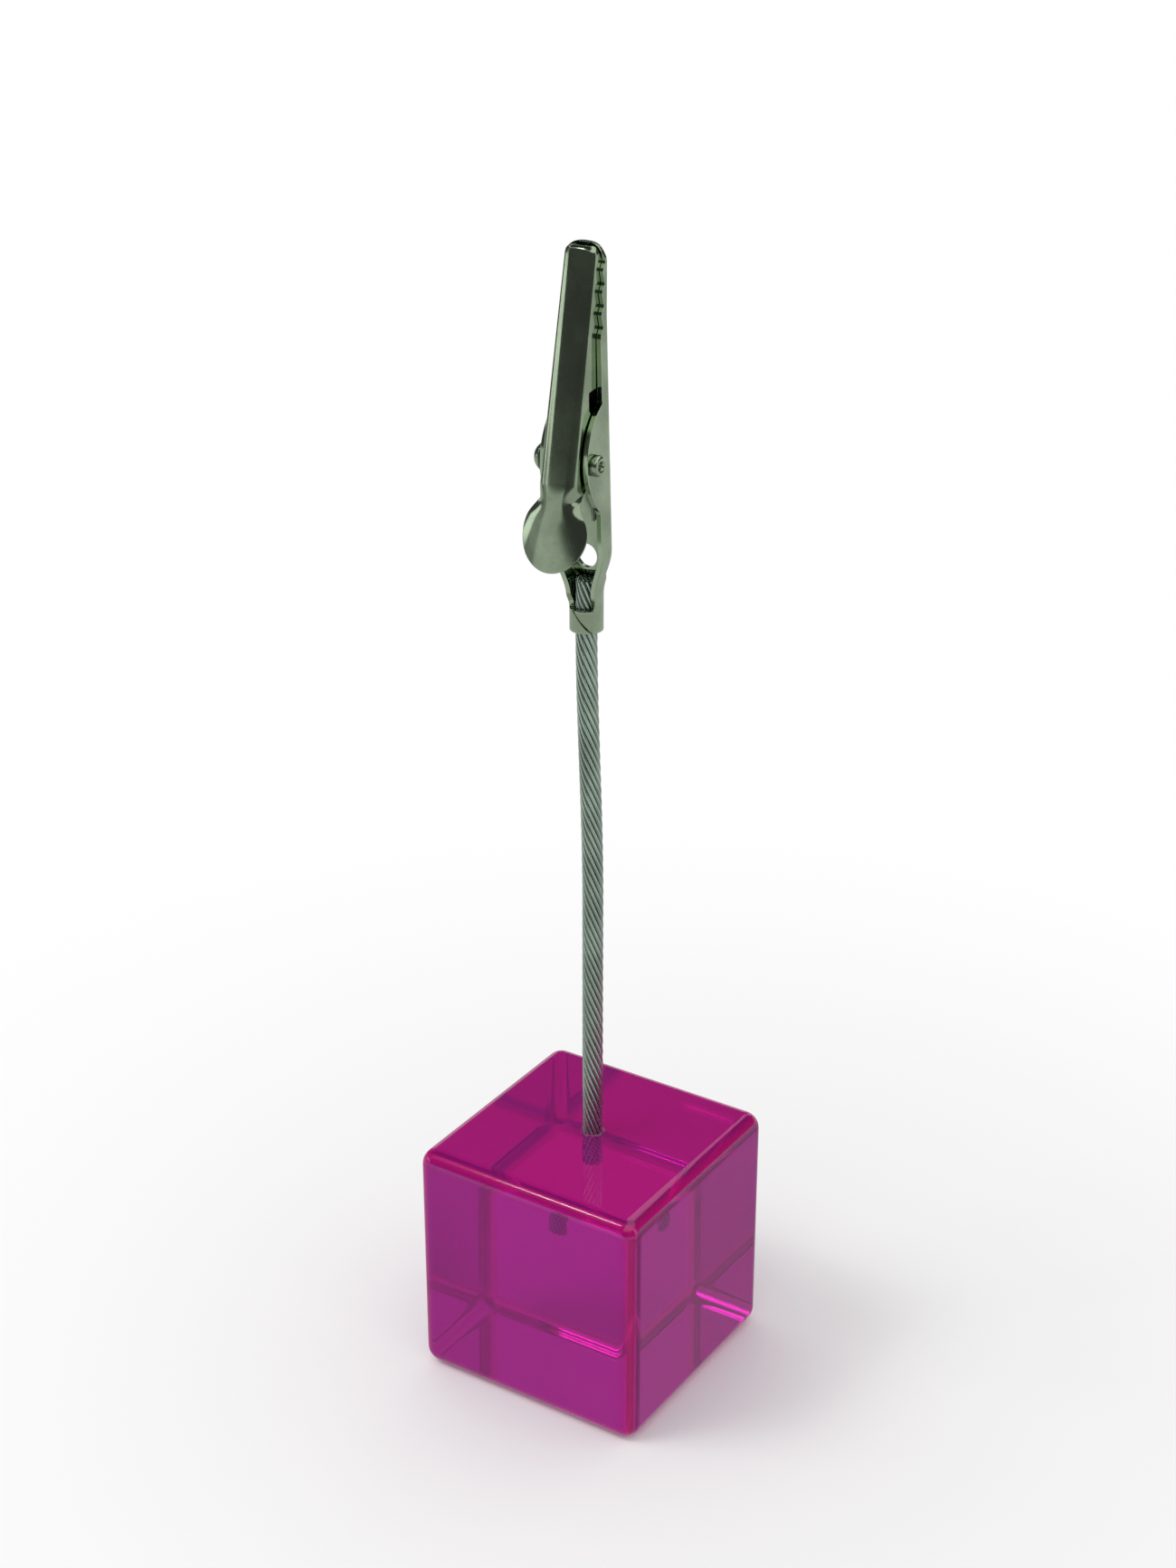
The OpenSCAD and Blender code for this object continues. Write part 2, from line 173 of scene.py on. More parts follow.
class Value:
    """Shader socket whose arithmetic adds Math nodes."""

    def __init__(self, sheet, socket):
        self.sheet = sheet
        self.socket = socket

    def math(self, operation, first, second):
        return self.sheet.add("ShaderNodeMath", {"operation": operation}, {0: first, 1: second})

    def __add__(self, other):
        return self.math("ADD", self, other)

    def __radd__(self, other):
        return self.math("ADD", other, self)

    def __sub__(self, other):
        return self.math("SUBTRACT", self, other)

    def __rsub__(self, other):
        return self.math("SUBTRACT", other, self)

    def __mul__(self, other):
        return self.math("MULTIPLY", self, other)

    def __rmul__(self, other):
        return self.math("MULTIPLY", other, self)

    def __or__(self, other):
        return self.math("MAXIMUM", self, other)

    def __ror__(self, other):
        return self.math("MAXIMUM", other, self)


class NodeSheet:
    """Empty node tree of a material or world, filled one node at a time."""

    def __init__(self, owner):
        owner.use_nodes = True
        self.owner = owner
        self.tree = owner.node_tree
        self.tree.nodes.clear()

    def add(self, kind, settings, sockets, output=0):
        """Node of a kind with its settings made, then its sockets filled or linked."""
        node = self.tree.nodes.new(kind)
        for name, setting in settings.items():
            setattr(node, name, setting)
        for key, given in sockets.items():
            if isinstance(given, Value):
                self.tree.links.new(given.socket, node.inputs[key])
            else:
                node.inputs[key].default_value = given
        return Value(self, node.outputs[output]) if node.outputs else None

    def place(self):
        """The piece's own Object coordinates."""
        return self.add("ShaderNodeTexCoord", {}, {}, "Object")

    def stretched(self, scale):
        """Object coordinates scaled apart along the axes."""
        return self.add("ShaderNodeMapping", {}, {"Vector": self.place(), "Scale": scale})

    def noise(self, vector, scale, detail):
        return self.add("ShaderNodeTexNoise", {}, {
            "Vector": vector, "Scale": scale, "Detail": detail, "Roughness": 0.55})

    def between(self, value, low, high):
        """Value taken from the range low to high onto 0 to 1, with soft ends."""
        return self.add(
            "ShaderNodeMapRange", {"interpolation_type": "SMOOTHSTEP"},
            {"Value": value, "From Min": low, "From Max": high})

    def blend(self, share, first, second):
        """Colour between two, by a share."""
        return self.add("ShaderNodeMix", {"data_type": "RGBA"}, {0: share, 6: first, 7: second}, 2)

    def bump(self, height, strength, distance):
        return self.add(
            "ShaderNodeBump", {}, {"Height": height, "Strength": strength, "Distance": distance})


def shade(colour, share=1.0):
    """Colour with its alpha, made darker or lighter by a share."""
    return (*[min(channel * share, 1) for channel in colour], 1)


def metal_finish(name, colour, rough, grain_scale, painted_rim_highlight):
    """Metal with a cloudy tone, lengthwise grain and small scuffs, and with a highlight painted on its cut
    edges if asked.
    """
    sheet = NodeSheet(bpy.data.materials.new(name))
    cloud = sheet.noise(sheet.place(), scale=260, detail=4)
    grain = sheet.noise(sheet.stretched(grain_scale), scale=1, detail=3)
    scuff = sheet.between(sheet.noise(sheet.place(), scale=2600, detail=5), low=0.6, high=0.72)
    tone = sheet.blend(sheet.between(cloud, low=0.35, high=0.68), shade(colour, 0.82), shade(colour, 1.08))
    tone = sheet.blend(scuff * 0.35, tone, shade(colour, 0.6))
    # Painted highlight: the cut edges are coloured paler than the plate
    if painted_rim_highlight:
        rim = sheet.add("ShaderNodeAttribute", {"attribute_name": "rim"}, {}, "Fac")
        tone = sheet.blend(sheet.between(rim, low=0.2, high=1) * 0.6, tone, shade(colour, 1.3))
    shader = sheet.add("ShaderNodeBsdfPrincipled", {}, {
        "Base Color": tone,
        "Metallic": 1,
        "Roughness": rough + grain * 0.06 + scuff * 0.05,
        "Normal": sheet.bump(grain, strength=0.05, distance=0.001 * MM),
    })
    sheet.add("ShaderNodeOutputMaterial", {}, {"Surface": shader})
    return sheet.owner


# Refractive indices as drawn, and the share of the painted edge glow in the middle of a rounded edge
ACRYLIC_IOR, GLUE_IOR = 1.56, 1.47
EDGE_GLOW_SHARE = 0.75


def acrylic_finish(settings):
    """Tinted acrylic with a slight haze, a finely marked polish, and rougher rounded edges with a glow
    painted into them.
    """
    sheet = NodeSheet(bpy.data.materials.new("tinted_acrylic"))
    cloud = sheet.noise(sheet.place(), scale=90, detail=3)
    marks = sheet.between(sheet.noise(sheet.place(), scale=1900, detail=4), low=0.55, high=0.75)
    tone = sheet.blend(cloud, shade(settings.tint, 0.94), shade(settings.tint, 1.04))
    body = sheet.add("ShaderNodeBsdfPrincipled", {}, {
        "Base Color": tone,
        "Roughness": 0.004 + marks * 0.008,
        "IOR": ACRYLIC_IOR,
        "Transmission Weight": settings.clarity,
    })
    # Painted edge glow: the rounded edges get a rougher, less clear surface, and a colour painted in for
    # the light that gathers there
    edge_glow_tone = sheet.blend(cloud, shade(settings.edge_glow_tint, 0.92), shade(settings.edge_glow_tint, 1.08))
    edge = sheet.add("ShaderNodeBsdfPrincipled", {}, {
        "Base Color": edge_glow_tone,
        "Roughness": 0.09 + marks * 0.03,
        "IOR": ACRYLIC_IOR,
        "Transmission Weight": 0.45,
    })
    rounding = sheet.add("ShaderNodeAttribute", {"attribute_name": "edge"}, {}, "Fac")
    shader = sheet.add("ShaderNodeMixShader", {}, {0: rounding * EDGE_GLOW_SHARE, 1: body, 2: edge})
    depth = sheet.add("ShaderNodeVolumeAbsorption", {}, {
        "Color": shade(settings.depth_tint), "Density": settings.depth_density})
    sheet.add("ShaderNodeOutputMaterial", {}, {"Surface": shader, "Volume": depth})
    return sheet.owner


def glue_finish(settings):
    """Clear set adhesive that takes the acrylic's colour."""
    sheet = NodeSheet(bpy.data.materials.new("set_glue"))
    ripple = sheet.noise(sheet.place(), scale=1500, detail=2)
    pale = (0.72, 0.2, 0.52, 1)
    tone = sheet.blend(ripple, shade(settings.tint), pale)
    shader = sheet.add("ShaderNodeBsdfPrincipled", {}, {
        "Base Color": tone,
        "Roughness": 0.06 + ripple * 0.1,
        "IOR": GLUE_IOR,
        "Transmission Weight": 0.75,
        "Normal": sheet.bump(ripple, strength=0.25, distance=0.02 * MM),
    })
    sheet.add("ShaderNodeOutputMaterial", {}, {"Surface": shader})
    return sheet.owner


def mesh_object(name, bm, finish):
    """Object at the origin from a finished bmesh, which is freed."""
    mesh = bpy.data.meshes.new(name)
    bm.to_mesh(mesh)
    bm.free()
    mesh.materials.append(finish)
    made = bpy.data.objects.new(name, mesh)
    bpy.context.scene.collection.objects.link(made)
    return made


def add_piece(name, bm, finish):
    """Smooth piece of the memo clip, with its finish."""
    for face in bm.faces:
        face.smooth = True
    piece = mesh_object(name, bm, finish)
    return piece


def keep_flats(piece):
    """Shading that leaves large faces flat beside rounded edges."""
    modifier = piece.modifiers.new("Flat faces", "WEIGHTED_NORMAL")
    modifier.keep_sharp = True
    modifier.weight = 80


# Sides of a drawn wire, the rounding of its cut ends, and steps round a turned part
WIRE_SIDES = 12
WIRE_END = 0.03 * MM
TURN_STEPS = 48


def close_ends(bm):
    """Caps the open ends of a wire, and rounds the cut edges."""
    rims = [edge for edge in bm.edges if edge.is_boundary]
    bmesh.ops.holes_fill(bm, edges=rims, sides=0)
    bmesh.ops.bevel(
        bm, geom=rims, offset=WIRE_END, offset_type="OFFSET", segments=2, profile=0.5,
        affect="EDGES", material=-1, clamp_overlap=True)
    bmesh.ops.recalc_face_normals(bm, faces=bm.faces)


def turned_part(profile, axis, centre):
    """Closed solid of revolution from a line of points in metres."""
    bm = bmesh.new()
    points = [bm.verts.new(point) for point in profile]
    for first, second in zip(points, points[1:]):
        bm.edges.new((first, second))
    bmesh.ops.spin(
        bm, geom=bm.verts[:] + bm.edges[:], cent=centre, axis=axis, angle=2 * pi, steps=TURN_STEPS,
        use_merge=True)
    bmesh.ops.remove_doubles(bm, verts=bm.verts, dist=1e-7)
    bmesh.ops.recalc_face_normals(bm, faces=bm.faces)
    return bm


class MEMO_OT_acrylic_cube(bpy.types.Operator):
    """Acrylic cube with rounded, polished edges"""

    bl_idname = "memo.acrylic_cube"
    bl_label = "Acrylic cube"

    def execute(self, context):
        settings = context.scene.memo_cube
        bm = bmesh.new()
        bmesh.ops.create_cube(bm, size=1)
        bmesh.ops.scale(bm, vec=CUBE_HIGH - CUBE_LOW, verts=bm.verts)
        bmesh.ops.translate(bm, vec=(CUBE_LOW + CUBE_HIGH) / 2, verts=bm.verts)
        bmesh.ops.bevel(
            bm, geom=bm.edges[:], offset=settings.edge_round, offset_type="OFFSET", segments=10,
            profile=0.5, affect="EDGES", material=-1, clamp_overlap=True)
        bm.normal_update()
        # How far each vertex lies round an edge, which is where the finish paints the edge glow
        on_edge = bm.verts.layers.float.new("edge")
        for vert in bm.verts:
            off_face = 1 - max(abs(part) for part in vert.normal)
            vert[on_edge] = ease(off_face / (1 - sqrt(0.5)))
        piece = add_piece("acrylic_cube", bm, acrylic_finish(settings))
        keep_flats(piece)
        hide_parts("base_cube")
        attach(piece, "base")
        return {"FINISHED"}


# Section of the glue ring, as (reach, rise) in millimetres from the stem's root
GLUE_SECTION = (
    (0.9, 0.01), (0.9, 0.13), (0.98, 0.12), (1.03, 0.08), (1.08, 0.05), (1.13, 0.03), (1.18, 0.015),
    (1.18, 0.005), (0.9, 0.01))


class MEMO_OT_glue_ring(bpy.types.Operator):
    """Ring of glue that creeps up the stem at the mouth of the bore"""

    bl_idname = "memo.glue_ring"
    bl_label = "Glue ring"

    def execute(self, context):
        profile = [(reach * MM, 0, STEM_ROOT.z + rise * MM) for reach, rise in GLUE_SECTION]
        bm = turned_part(profile, (0, 0, 1), (0, 0, 0))
        piece = add_piece("glue_ring", bm, glue_finish(context.scene.memo_cube))
        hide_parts("glue_sleeve")
        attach(piece, "base")
        return {"FINISHED"}


# Strand: number of wires and lay radius of the two layers, and where the stem's bow begins and ends
INNER_WIRES, INNER_RADIUS = 6, 0.4055 * MM
OUTER_WIRES, OUTER_RADIUS = 12, 0.8153 * MM
STEPS_PER_TURN = 36
BOW_FROM, BOW_TO = 51 * MM, CLIP_FOOT.z


def laid_wire(diameter, radius, phase, hand, lay):
    """One wire of the strand: a circle spun up a helix, then bowed with the stem."""
    height = STRAND_HIGH - STRAND_LOW
    turns = hand * height / lay
    lean = hand * 2 * pi * radius / lay
    steps = round(abs(turns) * STEPS_PER_TURN)
    start = Vector((radius * cos(phase), radius * sin(phase), STRAND_LOW))
    heading = Vector((-lean * sin(phase), lean * cos(phase), 1)).to_track_quat("Z", "Y")
    bm = bmesh.new()
    bmesh.ops.create_circle(
        bm, cap_ends=False, segments=WIRE_SIDES, radius=diameter / 2,
        matrix=Matrix.Translation(start) @ heading.to_matrix().to_4x4())
    bmesh.ops.spin(
        bm, geom=bm.verts[:] + bm.edges[:], cent=(0, 0, 0), axis=(0, 0, 1), angle=2 * pi * turns,
        dvec=(0, 0, height / steps), steps=steps, use_merge=False)
    close_ends(bm)
    for vert in bm.verts:
        vert.co.x += CLIP_FOOT.x * ease((vert.co.z - BOW_FROM) / (BOW_TO - BOW_FROM))
    return bm


class MEMO_OT_stem_strand(bpy.types.Operator):
    """Nineteen wires of the stem: a core, six round it and twelve round those"""

    bl_idname = "memo.stem_strand"
    bl_label = "Stem strand"

    def execute(self, context):
        settings = context.scene.memo_stem
        finish = metal_finish(
            "drawn_wire", settings.steel, rough=0.24, grain_scale=(5200, 5200, 500), painted_rim_highlight=False)
        wires = [("core_wire", settings.core, 0, 0, 1)]
        for i in range(INNER_WIRES):
            phase = 2 * pi * i / INNER_WIRES
            wires.append((f"inner_wire_{i + 1}", settings.wire, INNER_RADIUS, phase, 1))
        for i in range(OUTER_WIRES):
            phase = 2 * pi * i / OUTER_WIRES
            wires.append((f"outer_wire_{i + 1:02}", settings.wire, OUTER_RADIUS, phase, -1))
        for node, diameter, radius, phase, hand in wires:
            bm = laid_wire(diameter, radius, phase, hand, settings.lay)
            piece = add_piece(f"strand_{node}", bm, finish)
            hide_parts(node)
            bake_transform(piece)
        return {"FINISHED"}


# Seam between the jaws, as (height, depth) of the fixed jaw's free edge
TOOTH_COUNT = 4
TOOTH_TOP_Z, TOOTH_TOP_Y = CLIP_TOP - 1.5, -0.1
TOOTH_PITCH, TOOTH_STEP = 1.85, 0.55 / 3
TOOTH_DEPTH, TOOTH_RUN = 0.45, 0.75
SEAM_Y, SEAM_TIP_Y, TIP_RUN = -1.1, -0.35, 0.75
JAW_GAP = 0.08
WINDOW_LOW, WINDOW_TOP, WINDOW_Y = 21.2, 22.9, -2.3


def seam_points():
    """Sawtooth line of the seam, from the window up to the tip."""
    points = [(WINDOW_TOP, SEAM_Y)]
    for i in reversed(range(TOOTH_COUNT)):
        top_z = TOOTH_TOP_Z - i * TOOTH_PITCH
        top_y = TOOTH_TOP_Y - i * TOOTH_STEP
        points += [(top_z - TOOTH_RUN, top_y - TOOTH_DEPTH), (top_z, top_y)]
    return points + [(TOOTH_TOP_Z + TIP_RUN, SEAM_TIP_Y)]


def row_heights(features, gap):
    """Heights of a sheet's rows: every feature, and even steps of about the gap between them."""
    features = sorted(features)
    rows = [features[0]]
    for low, high in zip(features, features[1:]):
        count = max(1, round((high - low) / gap + 0.3))
        rows += [mix(low, high, (step + 1) / count) for step in range(count)]
    return rows


def round_off(z, top, radius):
    """How far a rounded corner that ends at the top has drawn in at height z."""
    rise = min(max(z - (top - radius), 0), radius)
    return radius - sqrt(radius * radius - rise * rise)


def tip_rows(top, corner, edge):
    """Heights that follow the two roundings of a jaw's tip."""
    angles = [radians(step * 15) for step in range(1, 7)]
    heights = [top - corner + corner * sin(angle) for angle in angles[:5]]
    return heights + [top - edge + edge * sin(angle) for angle in angles]


# How far a channel's back rises to its middle, and the most of its wall and half width that a fold takes up
CROWN = 0.05
FOLD_OF_WALL, FOLD_OF_HALF = 0.72, 0.9


def channel_point(share, half, back, fold, deep, edge, plain_edge):
    """Point at a share of the way from the middle of a channel's back, round its fold, to its free edge.

    The fold is so wide across the back and so deep along the wall. The columns are spaced for a plain edge,
    so that teeth stretch only the wall."""
    flat = half - fold
    turn = (fold + deep) * pi / 4
    shoulder = back - CROWN * flat / half
    wall = shoulder - deep - plain_edge
    along = share * (flat + turn + wall)
    if along <= flat:
        return along, mix(back, shoulder, (along / flat) ** 2)
    back = shoulder
    if along <= flat + turn:
        angle = (along - flat) / turn * pi / 2
        return flat + fold * sin(angle), back - deep + deep * cos(angle)
    return half, back - deep - (along - flat - turn) / wall * (back - deep - edge)


# Columns crowd together at a jaw's narrow tip, so those closer than this are welded there, the sheet is
# drawn thin and its edges are left sharp
TIP_WELD_HEIGHT, TIP_WELD = 0.6, 0.085
TIP_THIN = 0.06
TIP_DRAWN = 1.7


class PressedSheet:
    """Flat grid whose vertices are put where the press leaves them, with holes punched in it."""

    def __init__(self, columns, rows):
        self.bm = bmesh.new()
        bmesh.ops.create_grid(self.bm, x_segments=columns, y_segments=rows, size=0.5)
        self.at = {}
        for vert in self.bm.verts:
            self.at[round((vert.co.x + 0.5) * columns), round((vert.co.y + 0.5) * rows)] = vert
        if len(self.at) != (columns + 1) * (rows + 1):
            raise RuntimeError("the sheet's grid has the wrong number of rows or columns")
        self.cells = {}
        for face in self.bm.faces:
            middle = face.calc_center_median()
            self.cells[int((middle.x + 0.5) * columns), int((middle.y + 0.5) * rows)] = face
        self.waste = []

    def punch(self, column, row, ring, reach, centre, radius, pitch):
        """Round hole: opens the cells inside a square ring, and draws it and the next rings to circles."""
        across = (self.at[column + 1, row].co - self.at[column - 1, row].co).normalized()
        upward = self.at[column, row + 1].co - self.at[column, row - 1].co
        upward = (upward - across * upward.dot(across)).normalized()
        for (i, j), vert in self.at.items():
            a, b = i - column, j - row
            square = max(abs(a), abs(b))
            if ring <= square < reach:
                if abs(a) >= abs(b):
                    angle = pi / 4 * b / a + (pi if a < 0 else 0)
                else:
                    angle = pi / 2 - pi / 4 * a / b + (pi if b < 0 else 0)
                reached = radius + (square - ring) * pitch
                on_circle = centre + reached * (cos(angle) * across + sin(angle) * upward)
                vert.co = mix(vert.co, on_circle, (reach - square) / (reach - ring))
        for i in range(column - ring, column + ring):
            for j in range(row - ring, row + ring):
                self.waste.append(self.cells[i, j])

    def trimmed(self, facing):
        """Bmesh in metres, in place and without the waste, with its outer side facing the given way."""
        bm = self.bm
        rim = bm.verts.layers.float.new("rim")
        bmesh.ops.delete(bm, geom=self.waste, context="FACES")
        bmesh.ops.scale(bm, vec=(MM, MM, MM), verts=bm.verts)
        bmesh.ops.translate(bm, vec=CLIP_FOOT, verts=bm.verts)
        bmesh.ops.remove_doubles(bm, verts=bm.verts, dist=0.002 * MM)
        tip = max(vert.co.z for vert in bm.verts) - TIP_WELD_HEIGHT * MM
        bmesh.ops.remove_doubles(
            bm, verts=[vert for vert in bm.verts if vert.co.z > tip], dist=TIP_WELD * MM)
        bm.normal_update()
        soften = bm.edges.layers.float.new("bevel_weight_edge")
        # Marks the cut edges' vertices, where the plate's finish paints a highlight
        for vert in bm.verts:
            vert[rim] = float(vert.is_boundary)
        for edge in bm.edges:
            below = tip - max(vert.co.z for vert in edge.verts)
            edge[soften] = ease(below / (TIP_DRAWN * MM)) if edge.is_boundary else 0
        outermost = max(bm.faces, key=lambda face: facing * face.calc_center_median().y)
        if outermost.normal.y * facing < 0:
            bmesh.ops.reverse_faces(bm, faces=bm.faces)
        return bm


def finish_sheet(piece, settings):
    """Gives a pressed sheet its thickness, less at the narrow tip, and softens its cut edges."""
    group = piece.vertex_groups.new(name="thickness")
    top = max(vert.co.z for vert in piece.data.vertices)
    for vert in piece.data.vertices:
        drawn = ease((vert.co.z - top + TIP_DRAWN * MM) / (TIP_DRAWN * MM - TIP_WELD_HEIGHT * MM))
        group.add([vert.index], mix(1, TIP_THIN, drawn), "REPLACE")
    wall = piece.modifiers.new("Sheet", "SOLIDIFY")
    wall.thickness = settings.sheet
    wall.offset = -1
    wall.use_even_offset = False
    wall.use_quality_normals = True
    wall.vertex_group = "thickness"
    wall.thickness_vertex_group = 0
    soft = piece.modifiers.new("Cut edges", "BEVEL")
    soft.width = settings.edge_soften
    soft.segments = 2
    soft.limit_method = "WEIGHT"
    soft.use_clamp_overlap = False
    soft.harden_normals = True


def plate_finish(name, settings):
    """Nickel plating of a pressed jaw, with a highlight painted along its cut edges."""
    return metal_finish(name, settings.plate, rough=0.11, grain_scale=(3800, 3800, 420), painted_rim_highlight=True)


# Rivet holes in both jaws: the square ring that opens, the ring where the grid is plain again, and the rows
HOLE_RING, HOLE_REACH, HOLE_PITCH = 4, 6, 0.2
PIVOT_ROWS = [PIVOT_Z + HOLE_PITCH * step for step in range(-7, 8)]

# Fixed jaw, in millimetres
EAR_HALF = 2.5
FIXED_TAPER = 0.55 / 18.8
FIXED_BACK, FIXED_FOLD = 0.5, 0.8
FIXED_CORNER, TIP_EDGE = 1.5, 0.4
EAR_Y, EAR_ROUND = 2.6, 6.3
LIP_Y, LIP_LOW = -1.75, 8.6
BARREL_R, BARREL_TOP, BARREL_EDGE_Y = 1.555, 2.15, -0.85
BARREL_OPEN = acos(BARREL_EDGE_Y / BARREL_R)
BARREL_ROWS = [0, 0.25, BARREL_TOP, BARREL_TOP + 0.12]
CRIMP_OFFSET, CRIMP_SLANT, CRIMP_HALF_GAP = 0.33, radians(40), 0.07
FUNNEL_FROM, FUNNEL_TO = 3.4, 8.2
SHOULDER_LOW, SHOULDER_TOP = 4.95, 5.85
TAIL_HOLE_Z, TAIL_HOLE_R = 7.0, 1.1
TAIL_RING, TAIL_REACH, TAIL_PITCH = 8, 11, 0.13
RIVET_HOLE_R = 0.75
HALF_COLUMNS, FLAP_COLUMNS = 32, 12
FIXED_ROW, CAP_ROWS = 0.32, 4

# Rows at both ends of the ears' round edge, and a small step in height
EAR_ROWS = [11.94, 12.2, 21.35, 21.6]
HAIR = 0.01


def fixed_half(z):
    """Half width of the fixed jaw."""
    straight = EAR_HALF - FIXED_TAPER * (z - PIVOT_Z) - round_off(z, CLIP_TOP, FIXED_CORNER)
    return mix(BARREL_R, straight, ease((z - FUNNEL_FROM) / (FUNNEL_TO - FUNNEL_FROM)))


def fixed_edge(z):
    """Depth of the fixed jaw's free edge: crimp, lip, round ear, then the toothed seam."""
    line = [(BARREL_TOP, BARREL_EDGE_Y), (LIP_LOW, LIP_Y), (PIVOT_Z, LIP_Y), (PIVOT_Z + HAIR, SEAM_Y)]
    depth = along_profile(line + seam_points(), z)
    rise = abs(z - PIVOT_Z)
    if rise < EAR_ROUND:
        depth = min(depth, EAR_Y - sqrt(EAR_ROUND * EAR_ROUND - rise * rise))
    return depth


# Drop of the plain seam below the tops of the teeth, and the height in which it gets there
PLAIN_DROP, PLAIN_RISE = 0.05, 2


def plain_seam(z):
    """Depth of a smooth line just below the tops of the seam's teeth."""
    low_z = TOOTH_TOP_Z - (TOOTH_COUNT - 1) * TOOTH_PITCH
    low_y = TOOTH_TOP_Y - (TOOTH_COUNT - 1) * TOOTH_STEP
    return along_profile([
        (low_z - PLAIN_RISE, SEAM_Y), (low_z, low_y - PLAIN_DROP), (TOOTH_TOP_Z, TOOTH_TOP_Y - PLAIN_DROP),
        (TOOTH_TOP_Z + TIP_RUN, SEAM_TIP_Y)], z)


def seam_angle(z, side):
    """Angle round the barrel, from the back, at which a crimp flap ends in the slanting seam."""
    across = CRIMP_OFFSET - (z - BARREL_TOP / 2) * tan(CRIMP_SLANT)
    return pi - asin((side * across + CRIMP_HALF_GAP) / BARREL_R)


def fixed_point(column, z, cap):
    """Where the press leaves a vertex of the fixed jaw, in the clip's millimetres."""
    side = -1 if column < 0 else 1
    share = min(abs(column) / HALF_COLUMNS, 1)
    half, edge = fixed_half(z), fixed_edge(z)
    back = FIXED_BACK - round_off(z, CLIP_TOP, TIP_EDGE)
    plain = plain_seam(z) if z > WINDOW_TOP else edge
    fold = min(FIXED_FOLD, FOLD_OF_WALL * (back - plain), FOLD_OF_HALF * half)
    spot = Vector(channel_point(share, half, back, fold, fold, edge, plain))
    if cap:
        spot = mix(spot, Vector((share * half, edge)), cap)
    trough = ease((SHOULDER_TOP - z) / (SHOULDER_TOP - SHOULDER_LOW))
    if trough:
        bend = (half + BARREL_R) * pi / 4
        along = share * (bend - edge)
        turn = min(along / bend, 1) * pi / 2
        spot = mix(spot, Vector((half * sin(turn), BARREL_R * cos(turn) - max(along - bend, 0))), trough)
    barrel = ease((FUNNEL_FROM - z) / (FUNNEL_FROM - BARREL_TOP))
    if barrel:
        angle = share * BARREL_OPEN
        past = abs(column) - HALF_COLUMNS
        if past > 0:
            angle = mix(BARREL_OPEN, seam_angle(min(z, BARREL_TOP), side), past / FLAP_COLUMNS)
        spot = mix(spot, BARREL_R * Vector((sin(angle), cos(angle))), barrel)
    return Vector((side * spot.x, spot.y, z))


def fixed_rows():
    """(height, cap share) of each row of the fixed jaw."""
    features = BARREL_ROWS + [FUNNEL_FROM, SHOULDER_LOW, LIP_LOW] + EAR_ROWS + PIVOT_ROWS
    features += [TAIL_HOLE_Z + TAIL_PITCH * step for step in range(-TAIL_REACH, TAIL_REACH + 1)]
    features += [z for z, y in seam_points()]
    features += tip_rows(CLIP_TOP, FIXED_CORNER, TIP_EDGE)
    rows = [(z, 0) for z in row_heights(features, FIXED_ROW)]
    return rows + [(CLIP_TOP, (step + 1) / CAP_ROWS) for step in range(CAP_ROWS)]


class MEMO_OT_fixed_jaw(bpy.types.Operator):
    """Rear jaw of the clip, with its ears, tail and crimp barrel"""

    bl_idname = "memo.fixed_jaw"
    bl_label = "Fixed jaw"

    def execute(self, context):
        settings = context.scene.memo_clip
        rows = fixed_rows()
        middle = HALF_COLUMNS + FLAP_COLUMNS
        sheet = PressedSheet(2 * middle, len(rows) - 1)
        for (i, j), vert in sheet.at.items():
            vert.co = fixed_point(i - middle, *rows[j])
        heights = [z for z, cap in rows]

        def nearest_row(z):
            return min(range(len(rows)), key=lambda j: abs(heights[j] - z))

        for (i, j), face in sheet.cells.items():
            is_flap = i < FLAP_COLUMNS or i >= 2 * middle - FLAP_COLUMNS
            if is_flap and heights[j] > BARREL_TOP - HAIR:
                sheet.waste.append(face)
        sheet.punch(
            middle, nearest_row(TAIL_HOLE_Z), TAIL_RING, TAIL_REACH,
            centre=Vector((0, FIXED_BACK, TAIL_HOLE_Z)), radius=TAIL_HOLE_R, pitch=TAIL_PITCH)
        for side in (-1, 1):
            column = side * min(
                range(middle), key=lambda k: abs(fixed_point(side * k, PIVOT_Z, 0).y - PIVOT_Y))
            centre = Vector((side * fixed_half(PIVOT_Z), PIVOT_Y, PIVOT_Z))
            sheet.punch(
                middle + column, nearest_row(PIVOT_Z), HOLE_RING, HOLE_REACH,
                centre=centre, radius=RIVET_HOLE_R, pitch=HOLE_PITCH)
        finish = plate_finish("nickel_plate", settings)
        piece = add_piece("fixed_jaw_pressing", sheet.trimmed(facing=1), finish)
        finish_sheet(piece, settings)
        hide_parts("fixed_jaw")
        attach(piece, "clip")
        return {"FINISHED"}


# Moving jaw and its thumb paddle, in millimetres, with points as (height, depth)
MOVING_TOP, MOVING_CORNER, MOVING_TIP_EDGE = CLIP_TOP - 0.25, 0.7, 0.35
MOVING_HALF, MOVING_TAPER = 1.838, 0.0126
BACK_Y, BACK_SLOPE = -4.95, 0.2048
MOVING_FOLD, FOLD_TAPER, FOLD_DEPTH = 1.5, 0.038, 0.55
LEAST_WALL, LEAST_STRIP = 0.3, 0.05
FLANK_LOW, FLANK_TOP = (11.5, -5.03), (12.9, -3.8)
LOBE_LOW, LOBE_TOP, LOBE_Y = 15.85, 19.9, -1.2
WINDOW_SLOPE = 0.08
PLAIN_LOW, PLAIN_TOP = (27.5, SEAM_Y - JAW_GAP), (34.3, SEAM_TIP_Y - JAW_GAP)
NECK_TOP, NECK_LOW = 15.0, 11.8
PADDLE_LEAN = radians(10)
PADDLE_JOIN_Z, PADDLE_JOIN_Y = 14.0, -5.38
